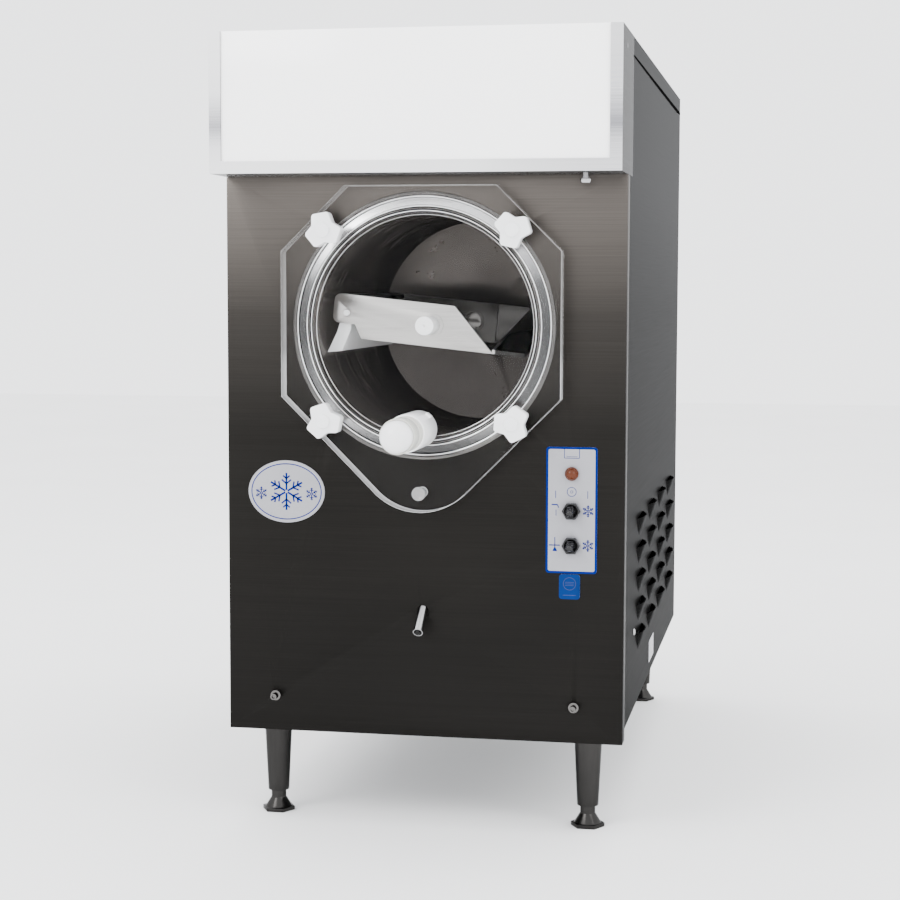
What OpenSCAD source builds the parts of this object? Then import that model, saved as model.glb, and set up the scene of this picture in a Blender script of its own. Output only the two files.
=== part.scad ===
// Counter-top frozen drink and soft-serve machine with one freezing barrel.
// X runs to the right, Y to the back and Z up. The origin lies on the counter,
// under the centre of the machine. Inside placed(), Y is 0 at the front panel.

/* [Cabinet] */
// Width of the cabinet
body_w = 406; // [380:1:480]
// Depth of the cabinet from the front panel to the rear panel
body_d = 711; // [690:1:860]
// Height from the lower edge of the front panel to the top
body_h = 703; // [690:1:850]
// Height of the front panel's lower edge above the counter
leg_gap = 96; // [80:1:130]
// How far the front panel hangs below the base pan
panel_drop = 12; // [4:1:16]
// Thickness of the cabinet sheet
sheet_t = 1.5; // [1:0.1:2]
// Depth of the front panel's side returns
panel_return = 22; // [12:1:30]
// Depth of the top cover's flange
cover_flange = 18; // [10:1:30]

/* [Header] */
// Height of the illuminated header
header_h = 138; // [120:1:150]
// How far the header stands out in front of the front panel
header_out = 57; // [45:1:75]
// How far the header's cheeks reach back over the cabinet
header_back = 50; // [30:1:60]
// Width of the header's frame strips
strip_w = 12; // [8:1:20]
// Thickness of the sign panel
sign_t = 3; // [2:0.5:4]
// Radius of the sign lamp
lamp_r = 8; // [6:0.5:12]

/* [Barrel] */
// Inner radius of the freezing barrel
barrel_r = 114.5; // [100:0.5:118]
// Depth of the freezing barrel
barrel_d = 338; // [300:1:345]
// Thickness of the barrel's wall
barrel_t = 2; // [1.5:0.1:3]
// Radius of the evaporator tube
coil_r = 4.5; // [3:0.1:5]
// Number of turns of the evaporator coil
coil_turns = 14; // [8:1:18]
// Thickness of the foam over the coil
foam_t = 11; // [8:0.5:14]

/* [Faceplate] */
// Thickness of the clear faceplate
face_t = 19; // [12:0.5:25]
// How far the faceplate's sides stand outside the barrel's bore
face_side = 26.5; // [24:0.5:32]
// How far the faceplate's top edge stands above the barrel's bore
face_over = 24.5; // [22:0.5:28]
// Gap between the faceplate's top edge and the header
face_drop = 10; // [6:1:14]
// Size of the faceplate's upper corner cuts
face_corner = 65; // [55:1:70]
// Depth below the axis where the faceplate starts to narrow
face_low = 71; // [60:1:80]
// Radius of the faceplate's nose
nose_r = 65; // [50:1:75]
// Gap that the gasket keeps between faceplate and panel
face_gap = 1.5; // [1:0.1:3]
// Distance of the studs' axes outside the barrel's bore
stud_out = 19.143; // [17:0.001:21]
// Radius of the studs
stud_r = 4; // [3:0.25:5]
// Thickness of the hand knobs
knob_t = 17; // [14:0.5:22]
// Radius of a hand knob's lobes
knob_r = 17; // [14:0.5:20]

/* [Dispensing valve] */
// Distance of the valve's axis inside the barrel's bore
valve_in = 13; // [13:0.5:20]
// Radius of the valve's body
valve_r = 18.5; // [16:0.5:22]
// Length of the valve's body
valve_body_l = 61; // [45:1:70]
// Length of the valve's collar
collar_l = 42; // [36:1:50]
// Radius of the valve's cap
cap_r = 15.5; // [14:0.5:17]
// How far the cap stands out in front of the collar
cap_out = 17; // [16:1:30]

/* [Dasher] */
// Depth of the front bar behind the front panel
front_bar_y = 42; // [30:1:60]
// Distance of the rear bar ahead of the barrel's rear wall
rear_bar_in = 50; // [43:1:98]
// Thickness of the dasher's bars and blades
bar_t = 4; // [3:0.5:6]
// Half of the height of the dasher's bars
bar_half_h = 22; // [18:1:26]
// Angle of the dasher's bars at rest
dasher_tilt = 6; // [0:1:15]
// Radius of the front bushing
bushing_r = 9.5; // [8:0.5:12]
// Radius of the drive shaft
shaft_r = 10; // [8:0.5:11]
// Gap between the scraper's edge and the barrel's wall
scraper_gap = 0.8; // [0.5:0.1:2]

/* [Drive] */
// Radius of the gearbox pulley
big_pulley_r = 50; // [40:1:56]
// Radius of the motor pulley
small_pulley_r = 25; // [20:1:30]
// Distance between the two pulley shafts
pulley_centres = 185; // [170:1:200]
// Radius of the drive motor
motor_r = 62; // [50:1:66]
// Length of the drive motor
motor_l = 118; // [100:1:125]

/* [Cooling] */
// Radius of the compressor
compressor_r = 72; // [60:1:76]
// Height of the compressor's shell
compressor_h = 205; // [170:1:225]
// Radius of the condenser fan
fan_r = 96; // [80:1:100]
// Width of the condenser
condenser_w = 262; // [220:1:290]
// Height of the condenser
condenser_h = 222; // [205:1:230]
// Width of a louvre
louvre_w = 76; // [60:1:112]
// Height of a louvre
louvre_h = 22; // [12:1:24]
// How far a louvre stands out
louvre_out = 7; // [4:0.5:9]
// Distance between louvres along the panel
louvre_pitch_y = 135; // [125:1:140]
// Distance between louvres up the panel
louvre_pitch_z = 31; // [28:1:34]

/* [Hopper] */
// Width of the hopper
hopper_w = 262; // [200:1:290]
// Length of the hopper
hopper_l = 300; // [240:1:320]
// Height of the hopper lid's handle
handle_h = 16; // [12:1:22]

/* [Legs] */
// Radius at a leg's top
leg_top_r = 15; // [13:0.5:20]
// Radius at a leg's bottom
leg_low_r = 11; // [9:0.5:13]
// Distance of the legs from the cabinet's sides
leg_inset_x = 39; // [30:1:60]
// Distance of the legs from the front and the rear panel
leg_inset_y = 45; // [35:1:70]
// Radius of a levelling foot
foot_r = 17.5; // [14:0.5:22]

/* [Hidden] */

$fn = 72;
gap = 0.3;
fit = 0.05;

// Cabinet
half_w = body_w / 2;
inner_half_w = half_w - sheet_t;
base_z = leg_gap + panel_drop;
floor_z = base_z + sheet_t;
top_z = leg_gap + body_h;
header_z = top_z - header_h;
header_cheek_y = header_back + gap;
flange_z = top_z - cover_flange;
side_top_z = flange_z - 1.5;
rear_y = body_d - sheet_t;
post_w = 25;
post_t = 2;
gland_out = 12;

// Barrel and its cooling
face_half_w = barrel_r + face_side;
face_top = barrel_r + face_over;
barrel_z = header_z - face_drop - face_top;
barrel_out_r = barrel_r + barrel_t;
flange_r = barrel_out_r + 33;
flange_y = sheet_t + gap;
flange_t = 2.5;
panel_hole_r = barrel_r + 19;
coil_in_r = barrel_out_r + gap;
foam_in_r = coil_in_r + 2 * coil_r + gap;
foam_half = foam_in_r + foam_t;
foam_y = flange_y + flange_t + gap;
foam_l = barrel_d - foam_y - 8;
rear_wall_t = 3;

// Faceplate and its fixings
face_y = -face_gap - face_t;
stud_off = (barrel_r + stud_out) / sqrt(2);
boss_r = barrel_r - 2;
boss_t = 6;
nose_flat = nose_r - 0.1;
nose_drop = face_half_w + face_low - nose_flat * sqrt(2);
nose_tangent = nose_flat / sqrt(2);
stud_tip = 12;
stud_angles = [-20, 17, -11, 56];
plug_drop = nose_drop + 46;
plug_r = 7;

// Valve
valve_z = barrel_z - barrel_r + valve_in;
neck_r = 10;
stem_r = 4.5;
valve_bore_r = 8;
collar_r = valve_r - 1.5;
collar_y = face_y - valve_body_l - collar_l;
cap_y = collar_y - cap_out;
cap_gap = 0.4;
wire_r = 0.8;
spring_turns = 5;
valve_reach = -cap_y;

// Dasher; its own frame has the bars level and the barrel's axis at X = Z = 0
rear_bar_y = barrel_d - rear_bar_in;
bar_left = -barrel_r + 11;
notch_x = bar_left + 24;
blade_out = 100;
tip_x = 66;
ramp_rise = atan2(2 * bar_half_h - bar_t, rear_bar_y - front_bar_y);
scraper_pivot = [-89, 3];
tang_r = 3;
bushing_y = -face_gap + boss_t + gap;

// Drive
gearbox_w = 112;
gearbox_h = 126;
gearbox_y = barrel_d + 52;
bulkhead_y = gearbox_y + 96;
bulkhead_t = 4;
gearbox_l = bulkhead_y - gearbox_y - gap;
pulley_y = bulkhead_y + bulkhead_t + 8;
pulley_t = 16;
input_r = 8;
motor_z = barrel_z - pulley_centres;
belt_t = 6;
shaft_end = gearbox_y + 60;

// Cooling
condenser_d = 44;
condenser_y = rear_y - condenser_d - 12;
shroud_t = 1.5;
shroud_l = 44;
shroud_y = condenser_y - shroud_l - gap;
fan_z = floor_z + gap + condenser_h / 2;
fan_y = shroud_y + 8;
fan_depth = 22;
louvre_y0 = 175;
louvre_z0 = base_z + 53;
louvre_cols = 4;
louvre_rows = 5;
louvre_t = 1.2;
compressor_x = -88;
compressor_y = 215;

// Hopper
hopper_y = header_cheek_y + 40;
hopper_t = 1.5;
hopper_z = barrel_z + foam_half + 12;
outlet_r = 12.5;
outlet_y = hopper_y + 45;
rim_w = 12;
lid_t = 5;

// Controls, measured up from the front panel's lower edge
label_x = 150.5;
label_w = 51;
label_h = 126;
label_gap = 44.4;
label_z = barrel_z - foam_half - label_gap;
toggle_zs = [label_z - 0.5, label_z - 35];
tag_w = 21;
tag_h = 25;
tag_z = label_z - label_h / 2 - tag_h / 2 - 1;
lamp_z = label_z + 36.5;
switch_r = 6;
ball_r = 6.2;
ball_y = -9;

// Other details on the front panel
badge_x = -141.5;
badge_z = leg_gap + 247;
tube_z = leg_gap + 128;
tube_r = 5;
tube_angle = 35;
tray_x = 154;
tray_z = leg_gap + 36;
tray_r = 3.25;
tray_out = 10;

// Legs
leg_z = 22;
foot_h = 14;
stem_leg_r = 6;
foot_stem_r = 7.75;

total_d = valve_reach + body_d + gland_out;
front_y = valve_reach - total_d / 2;

// Moves a piece from the front panel's frame to the machine's frame
module placed() {
  translate([0, front_y, 0]) children();
}

// An upright outline, with the drawing's Y up, from y0 back to y0 + t
module upright(y0, t) {
  translate([0, y0 + t, 0]) rotate([90, 0, 0]) linear_extrude(t) children();
}

// A round bar along Y
module rod_y(x, y0, z, r, l) {
  translate([x, y0, z]) rotate([-90, 0, 0]) cylinder(r = r, h = l);
}

// A tube along Y
module tube_y(x, y0, z, r_out, r_in, l) {
  difference() {
    rod_y(x, y0, z, r_out, l);
    rod_y(x, y0 - 1, z, r_in, l + 2);
  }
}

// A box given by its two corners
module box(low, high) {
  translate(low) cube(high - low);
}

// A round pipe through a list of points, with ball elbows
module pipe(points, r) {
  for (i = [0 : len(points) - 2]) {
    span = points[i + 1] - points[i];
    flat = norm([span.x, span.y]);
    translate(points[i]) rotate([0, atan2(flat, span.z), atan2(span.y, span.x)])
      cylinder(r = r, h = norm(span), $fn = 24);
  }
  for (p = points) translate(p) sphere(r = r * 1.08, $fn = 24);
}

// A wire swept along a helix about Z, as one closed solid
module helix_wire(r, wire, turns, height, steps = 16, sides = 6) {
  count = turns * steps;
  rings = [for (i = [0 : count]) for (k = [0 : sides - 1])
    let (a = 360 * i / steps, b = 360 * k / sides)
    [(r + wire * cos(b)) * cos(a), (r + wire * cos(b)) * sin(a), height * i / count + wire * sin(b)]];
  skin = [for (i = [0 : count - 1]) for (k = [0 : sides - 1])
    [i * sides + k, i * sides + (k + 1) % sides, (i + 1) * sides + (k + 1) % sides, (i + 1) * sides + k]];
  start = [for (k = [sides - 1 : -1 : 0]) k];
  finish = [for (k = [0 : sides - 1]) count * sides + k];
  polyhedron(points = rings, faces = concat(skin, [start, finish]), convexity = 10);
}

// ---- Cabinet ----

module base_pan() {
  w = inner_half_w - gap;
  color("silver") placed() difference() {
    box([-w, sheet_t + gap, base_z], [w, rear_y - gap, base_z + 30]);
    box([-w + sheet_t, 2 * sheet_t + gap, floor_z], [w - sheet_t, rear_y - sheet_t - gap, base_z + 31]);
    for (p = leg_points()) translate([p.x, p.y, base_z - 1]) cylinder(r = stem_leg_r + fit, h = 4);
    for (x = [-tray_x, tray_x]) rod_y(x, -1, tray_z, 8, 6);
  }
}

module frame_rails() {
  w = inner_half_w - sheet_t - 2 * gap;
  y_low = 2 * sheet_t + 2 * gap;
  y_high = rear_y - sheet_t - 2 * gap;
  foam_z = barrel_z - foam_half;
  color("gray") placed() {
    for (side = [-1, 1]) {
      corner_post(side * w, y_low, -side, 1);
      corner_post(side * w, y_high, -side, -1);
    }
    for (y = [70, barrel_d - 60]) {
      difference() {
        box([-w, y, foam_z - post_w - gap], [w, y + post_w, foam_z - gap]);
        box([-w - 1, y + post_t, foam_z - post_w - 1], [w + 1, y + post_w + 1, foam_z - gap - post_t]);
      }
    }
  }
}

// An angle post whose outer corner is at x, y
module corner_post(x, y, dir_x, dir_y) {
  top = flange_z - 6;
  bottom = floor_z + gap;
  translate([x, y, bottom]) mirror([dir_x < 0 ? 1 : 0, 0, 0]) mirror([0, dir_y < 0 ? 1 : 0, 0])
    linear_extrude(top - bottom)
    polygon([[0, 0], [post_w, 0], [post_w, post_t], [post_t, post_t], [post_t, post_w], [0, post_w]]);
}

module front_panel() {
  color("dimgray") placed() difference() {
    union() {
      box([-half_w, 0, leg_gap], [half_w, sheet_t, header_z - gap]);
      box([-inner_half_w + gap, 0, header_z - 1], [inner_half_w - gap, sheet_t, top_z - 2 * sheet_t]);
      for (side = [-1, 1]) {
        box([min(side * half_w, side * inner_half_w), 0, leg_gap],
          [max(side * half_w, side * inner_half_w), panel_return, header_z - gap]);
      }
      box([-half_w, 0, leg_gap], [half_w, panel_drop, leg_gap + sheet_t]);
    }
    rod_y(0, -1, barrel_z, panel_hole_r, 5);
    for (p = stud_points()) rod_y(p.x, -1, p.y, stud_r + 0.5, 5);
    for (z = toggle_zs) rod_y(label_x, -1, z, switch_r + gap, 5);
    rod_y(label_x, -1, lamp_z, 5 + gap, 5);
    translate([0, 0, tube_z]) rotate([90 + tube_angle, 0, 0])
      cylinder(r = tube_r + 0.5, h = 20, center = true);
    for (x = [-tray_x, tray_x]) rod_y(x, -1, tray_z, tray_r + fit, 5);
  }
}

// One side panel, drawn on the right
module side_panel() {
  x_in = inner_half_w;
  arc_low = (pow(louvre_w / 2, 2) - pow(louvre_out, 2)) / (2 * louvre_out);
  axis_x = half_w - arc_low;
  difference() {
    union() {
      box([x_in, panel_return + 0.5, base_z], [half_w, rear_y - gap, header_z - gap]);
      box([x_in, header_cheek_y, header_z - 1], [half_w, rear_y - gap, side_top_z]);
      box([half_w - 16, header_cheek_y + 2, side_top_z - sheet_t], [half_w, rear_y - gap, side_top_z]);
      intersection() {
        for (p = louvre_places()) translate([axis_x, p.x, p.y])
          cylinder(r1 = arc_low, r2 = arc_low + louvre_out, h = louvre_h, $fn = 360);
        box([x_in, 0, base_z], [half_w + louvre_out + 1, body_d, side_top_z]);
      }
    }
    for (p = louvre_places()) translate([axis_x, p.x, p.y + 0.01])
      cylinder(r1 = arc_low - louvre_t, r2 = arc_low - louvre_t + louvre_out, h = louvre_h + 0.02,
        $fn = 360);
  }
}

module right_side_panel() {
  color("gray") placed() side_panel();
}

module left_side_panel() {
  color("gray") placed() mirror([1, 0, 0]) side_panel();
}

module rear_panel() {
  slot_w = 70;
  slot_h = 8;
  color("gray") placed() difference() {
    box([-half_w, rear_y, base_z], [half_w, body_d, side_top_z]);
    for (col = [-1 : 1]) {
      for (row = [0 : 10]) {
        translate([col * 86, body_d, floor_z + 20 + row * 19]) {
          cube([slot_w, 10, slot_h], center = true);
          for (x = [-slot_w / 2, slot_w / 2]) translate([x, 0, 0]) rotate([90, 0, 0])
            cylinder(d = slot_h, h = 10, center = true);
        }
      }
    }
    rod_y(-half_w + 45, rear_y - 1, base_z + 285, 8 + fit, 5);
  }
}

module top_cover() {
  x_hole = hopper_w / 2 + gap;
  y_front = header_cheek_y;
  color("gray") placed() difference() {
    box([-half_w, y_front, flange_z], [half_w, body_d, top_z]);
    box([-inner_half_w, y_front - 1, flange_z - 1], [inner_half_w, rear_y, top_z - sheet_t]);
    box([-x_hole, hopper_y - gap, flange_z], [x_hole, hopper_y + hopper_l + gap, top_z + 1]);
  }
}

module header_housing() {
  y_front = -header_out;
  sign_y = y_front + sheet_t;
  slot_t = sign_t + 2 * gap;
  color("lightgray") placed() {
    header_shell(y_front, sign_y);
    for (x = [-inner_half_w, inner_half_w - 8]) {
      box([x, sign_y + slot_t, header_z + sheet_t], [x + 8, sign_y + slot_t + sheet_t, top_z - sheet_t]);
    }
    box([-inner_half_w, sign_y + slot_t, top_z - sheet_t], [inner_half_w, 0, top_z]);
    box([-inner_half_w, sign_y + slot_t, header_z + sheet_t],
      [inner_half_w, sign_y + slot_t + sheet_t, header_z + 10]);
  }
}

// The header's folded shell, open behind and over the sign
module header_shell(y_front, sign_y) {
  difference() {
    box([-half_w, y_front, header_z], [half_w, header_back, top_z]);
    box([-inner_half_w, sign_y, header_z + sheet_t], [inner_half_w, -gap, top_z + 1]);
    box([-inner_half_w, -1, header_z - 1], [inner_half_w, header_back + 1, top_z - sheet_t]);
    box([-inner_half_w, -gap - 0.1, header_z + sheet_t], [inner_half_w, header_back + 1, top_z - sheet_t]);
    box([-half_w + strip_w, y_front - 1, header_z + strip_w], [half_w - strip_w, sign_y + 1, top_z + 1]);
    box([-half_w - 1, -gap, header_z - 1], [half_w + 1, panel_return + 0.5, header_z - 0.5]);
    translate([switch_x(), -header_out / 2, header_z - 1]) cylinder(r = 3 + fit, h = 4);
    for (side = [-1, 1]) translate([side * half_w, -header_out / 4, top_z - 16]) rotate([0, 90, 0])
      cylinder(r = 2.5, h = 6, center = true);
  }
}

module sign_panel() {
  y = -header_out + sheet_t + gap;
  color("white") placed()
    box([-inner_half_w + gap, y, header_z + sheet_t + gap], [inner_half_w - gap, y + sign_t, top_z]);
}

module sign_lamp() {
  x = half_w - 50;
  z = header_z + header_h / 2;
  y = -lamp_r - 10;
  color("lightyellow") placed() {
    translate([-x, y, z]) rotate([0, 90, 0]) cylinder(r = lamp_r, h = 2 * x);
    for (side = [-1, 1]) box([side * (x + 7) - 7, y - 9, z - 12], [side * (x + 7) + 7, -gap, z + 12]);
  }
}

module sign_switch_knob() {
  color("silver") placed() translate([switch_x(), -header_out / 2, header_z]) {
    translate([0, 0, -6]) cylinder(r = 3, h = 18);
    translate([0, 0, -10]) rotate_extrude() {
      intersection() {
        translate([0, 3]) circle(r = 5.5);
        square([6, 4.5]);
      }
    }
  }
}

function switch_x() = half_w - 38;
function leg_points() = [for (x = [-1, 1]) for (y = [leg_inset_y, body_d - leg_inset_y])
  [x * (half_w - leg_inset_x), y]];
function stud_points() = [for (x = [-1, 1]) for (z = [-1, 1]) [x * stud_off, barrel_z + z * stud_off]];
function louvre_places() = [for (col = [0 : louvre_cols - 1]) for (row = [0 : louvre_rows - 1])
  [louvre_y0 + col * louvre_pitch_y, louvre_z0 + row * louvre_pitch_z]];

// ---- Barrel and hopper ----

module freezing_barrel() {
  color("silver") placed() difference() {
    union() {
      rod_y(0, 0, barrel_z, barrel_out_r, barrel_d + rear_wall_t);
      rod_y(0, flange_y, barrel_z, flange_r, flange_t);
      rod_y(0, barrel_d, barrel_z, 24, rear_wall_t + 30);
      translate([0, outlet_y, barrel_z + barrel_r]) cylinder(r = outlet_r + 5, h = barrel_t + 3);
    }
    rod_y(0, -1, barrel_z, barrel_r, barrel_d + 1);
    rod_y(0, barrel_d - 1, barrel_z, shaft_r + 2, 60);
    rod_y(0, barrel_d + rear_wall_t, barrel_z, 16, 60);
    for (p = stud_points()) rod_y(p.x, 0, p.y, stud_r + fit, 10);
    translate([0, outlet_y, barrel_z + barrel_r - 8]) cylinder(r = outlet_r + fit, h = 30);
  }
}

module evaporator_coil() {
  pitch = (foam_l - 50) / (coil_turns - 1);
  y0 = foam_y + 14;
  color("peru") placed() difference() {
    union() {
      for (i = [0 : coil_turns - 1]) translate([0, y0 + i * pitch, barrel_z]) rotate([90, 0, 0])
        rotate_extrude() translate([coil_in_r + coil_r, 0]) circle(r = coil_r, $fn = 24);
      rod_y(coil_in_r + coil_r, y0, barrel_z, coil_r / 2, pitch * (coil_turns - 1));
    }
    translate([0, outlet_y, barrel_z]) cylinder(r = outlet_r + 6, h = 200);
  }
}

module barrel_insulation() {
  color("khaki") placed() difference() {
    box([-foam_half, foam_y, barrel_z - foam_half], [foam_half, foam_y + foam_l, barrel_z + foam_half]);
    rod_y(0, foam_y - 1, barrel_z, foam_in_r, foam_l + 2);
    for (p = stud_points()) rod_y(p.x, foam_y - 1, p.y, stud_r + 1, 5);
    translate([0, outlet_y, barrel_z]) cylinder(r = outlet_r + 6, h = 200);
  }
}

module mix_hopper() {
  low = [-hopper_w / 2, hopper_y, hopper_z];
  high = [hopper_w / 2, hopper_y + hopper_l, top_z + gap];
  wall = [hopper_t, hopper_t, hopper_t];
  pipe_low = barrel_z + barrel_r + gap;
  color("silver") placed() difference() {
    union() {
      box(low, high);
      box([low.x - rim_w, low.y - rim_w, high.z], [high.x + rim_w, high.y + rim_w, high.z + hopper_t]);
      translate([0, outlet_y, pipe_low]) cylinder(r = outlet_r, h = hopper_z - pipe_low + 1);
    }
    box(low + wall, high + [-hopper_t, -hopper_t, 5]);
    translate([0, outlet_y, pipe_low - 1]) cylinder(r = outlet_r - 2, h = hopper_z - pipe_low + 10);
  }
}

module hopper_lid() {
  w = hopper_w / 2 + rim_w;
  z = top_z + 2 * gap + hopper_t;
  y_mid = hopper_y + hopper_l / 2;
  grip = 55;
  color("silver") placed() {
    difference() {
      box([-w, hopper_y - rim_w, z], [w, hopper_y + hopper_l + rim_w, z + lid_t]);
      box([-w + sheet_t, hopper_y - rim_w + sheet_t, z - 1],
        [w - sheet_t, hopper_y + hopper_l + rim_w - sheet_t, z + lid_t - sheet_t]);
    }
    for (x = [-grip, grip]) translate([x, y_mid, z + lid_t - 0.5]) cylinder(r = 4, h = handle_h);
    translate([-grip, y_mid, z + lid_t + handle_h - 4]) rotate([0, 90, 0]) cylinder(r = 4, h = 2 * grip);
    for (x = [-grip, grip]) translate([x, y_mid, z + lid_t + handle_h - 4]) sphere(r = 4);
  }
}

// ---- Faceplate ----

module face_outline() {
  polygon([
    [-face_half_w + face_corner, face_top], [face_half_w - face_corner, face_top],
    [face_half_w, face_top - face_corner], [face_half_w, -face_low],
    [nose_tangent, -nose_drop - nose_tangent], [-nose_tangent, -nose_drop - nose_tangent],
    [-face_half_w, -face_low], [-face_half_w, face_top - face_corner]
  ]);
  translate([0, -nose_drop]) circle(r = nose_r);
}

module faceplate() {
  color("white", 0.35) placed() difference() {
    union() {
      translate([0, 0, barrel_z]) upright(face_y, face_t) face_outline();
      rod_y(0, -face_gap - 1, barrel_z, boss_r, boss_t + 1);
    }
    for (p = stud_points()) rod_y(p.x, face_y - 1, p.y, stud_r + 1, face_t + 2);
    rod_y(0, face_y - 1, valve_z, neck_r + fit, face_t + boss_t + 4);
    rod_y(0, face_y - 1, barrel_z - plug_drop, plug_r - 2, face_t + 2);
  }
}

module faceplate_gasket() {
  color("black") placed()
    tube_y(0, -face_gap, barrel_z, barrel_out_r + 1, boss_r + gap, face_gap);
}

module faceplate_studs() {
  color("silver") placed() for (p = stud_points())
    rod_y(p.x, face_y - stud_tip, p.y, stud_r, stud_tip + face_t + face_gap + flange_y + flange_t + 3);
}

// A three-lobed hand knob at x, z, turned by angle
module hand_knob(x, z, angle) {
  lobe_w = knob_r * 0.68;
  skirt = 3;
  color("white") placed() translate([x, face_y - gap, z]) rotate([90, 0, 0]) difference() {
    union() {
      rotate(angle) linear_extrude(knob_t - skirt) hand_knob_outline(lobe_w);
      cylinder(r = 7, h = knob_t);
    }
    translate([0, 0, -1]) cylinder(r = stud_r + fit, h = stud_tip + 1 + gap);
  }
}

module hand_knob_outline(lobe_w) {
  circle(r = knob_r * 0.6);
  for (i = [0 : 2]) rotate(i * 120) {
    polygon([[0, -lobe_w], [knob_r - 2, -lobe_w * 0.76], [knob_r, -lobe_w * 0.6],
      [knob_r, lobe_w * 0.6], [knob_r - 2, lobe_w * 0.76], [0, lobe_w]]);
  }
}

module upper_left_knob() { hand_knob(-stud_off, barrel_z + stud_off, stud_angles[0]); }
module upper_right_knob() { hand_knob(stud_off, barrel_z + stud_off, stud_angles[1]); }
module lower_left_knob() { hand_knob(-stud_off, barrel_z - stud_off, stud_angles[2]); }
module lower_right_knob() { hand_knob(stud_off, barrel_z - stud_off, stud_angles[3]); }

module nose_plug() {
  z = barrel_z - plug_drop;
  color("white") placed() {
    difference() {
      rod_y(0, face_y - 2.5, z, plug_r, 2.5 - 0.01);
      translate([0, face_y - 2.5 - 9, z]) sphere(r = 10.5);
    }
    rod_y(0, face_y - 0.02, z, plug_r - 2, face_t);
  }
}

// ---- Dispensing valve ----

module valve_body() {
  y0 = face_y - valve_body_l;
  ear_w = 6;
  color("whitesmoke") placed() difference() {
    union() {
      rod_y(0, y0, valve_z, valve_r, valve_body_l - 0.01);
      rod_y(0, face_y - 1, valve_z, neck_r, face_t + boss_t + 1);
      rotate_about(valve_z, 40)
        box([-ear_w / 2, face_y - 16, valve_r - 2], [ear_w / 2, face_y - 6, valve_r + 1.6]);
    }
    rod_y(0, y0 - 1, valve_z, valve_bore_r, valve_body_l + face_t + boss_t + 3);
    translate([0, y0 + 24, valve_z - valve_r - 1]) cylinder(r = 7, h = valve_r);
  }
}

// Turns a piece about an axis along Y at height z
module rotate_about(z, angle) {
  translate([0, 0, z]) rotate([0, angle, 0]) children();
}

module valve_collar() {
  y0 = collar_y;
  groove = 0.5;
  color("ivory") placed() difference() {
    rod_y(0, y0, valve_z, collar_r, collar_l - 0.01);
    rod_y(0, y0 - 1, valve_z, cap_r + cap_gap, collar_l - 6);
    rod_y(0, y0 - 1, valve_z, valve_bore_r, collar_l + 3);
    tube_y(0, y0 + collar_l - 18, valve_z, collar_r + 1, collar_r - groove, 3);
  }
}

module valve_plunger() {
  skirt = 20;
  inner_end = -face_gap + boss_t - 2;
  dome_r = cap_r;
  color("white") placed() {
    intersection() {
      translate([0, cap_y + dome_r * 1.05, valve_z]) sphere(r = dome_r * 1.05);
      rod_y(0, cap_y - 1, valve_z, cap_r, dome_r + 1);
    }
    rod_y(0, cap_y + dome_r - 1, valve_z, cap_r, cap_out - dome_r + skirt + 1);
    rod_y(0, collar_y + skirt - 1, valve_z, stem_r, inner_end - collar_y - skirt + 1);
    rod_y(0, inner_end - 12, valve_z, valve_bore_r - fit, 10);
  }
}

module valve_spring() {
  y0 = face_y - valve_body_l - 6 + gap + wire_r;
  color("silver") placed() translate([0, y0, valve_z]) rotate([-90, 0, 0])
    helix_wire(6.4, wire_r, spring_turns, 26);
}

// ---- Dasher and drive ----

// Puts a piece drawn with level bars onto the barrel's axis, at the dasher's angle
module on_dasher() {
  placed() translate([0, 0, barrel_z]) rotate([0, dasher_tilt, 0]) children();
}

module front_bar_outline() {
  h = bar_half_h;
  round_r = 7;
  polygon([
    [notch_x, 14 - h], [notch_x + 8, -h], [tip_x, -h], [tip_x - 2 * h, h], [bar_left + round_r, h],
    [bar_left, h - round_r], [bar_left, 14 - h + round_r], [bar_left + round_r, 14 - h]
  ]);
  for (v = [14 - h + round_r, h - round_r]) translate([bar_left + round_r, v]) circle(r = round_r);
}

module dasher_frame() {
  h = bar_half_h;
  span = rear_bar_y - front_bar_y;
  color("lightsteelblue") on_dasher() difference() {
    union() {
      upright(front_bar_y, bar_t) front_bar_outline();
      box([bar_left, rear_bar_y, -h], [tip_x + 1, rear_bar_y + bar_t, h]);
      box([-54, rear_bar_y - 3, -h], [28, rear_bar_y + 1, h]);
      rod_y(0, front_bar_y - 1.5, 0, bushing_r + 3, 2);
      rod_y(0, front_bar_y - 26, 0, 6, 27);
      rod_y(0, rear_bar_y - 5, 0, shaft_r + 3, bar_t + 12);
      box([bar_left + 4, front_bar_y + 1, h - bar_t - 1], [bar_left + 20, rear_bar_y + 1, h - 1]);
      intersection() {
        translate([tip_x - 1, front_bar_y, -h]) rotate([ramp_rise, 0, 0])
          cube([blade_out - tip_x, span / cos(ramp_rise) + bar_t, bar_t]);
        box([0, front_bar_y, -h], [barrel_r, rear_bar_y + bar_t, h]);
      }
    }
    rod_y(0, rear_bar_y - 6, 0, shaft_r + fit, bar_t + 20);
    rod_y(scraper_pivot.x, front_bar_y - 1, scraper_pivot.y, tang_r + fit, span + bar_t + 2);
  }
}

module dasher_bushing() {
  color("white") on_dasher() difference() {
    rod_y(0, bushing_y, 0, bushing_r, front_bar_y - 1.5 - gap - bushing_y);
    rod_y(0, front_bar_y - 26 - gap, 0, 6 + fit, 40);
    rod_y(0, bushing_y - 1, 0, 0.8, 3);
  }
}

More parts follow.
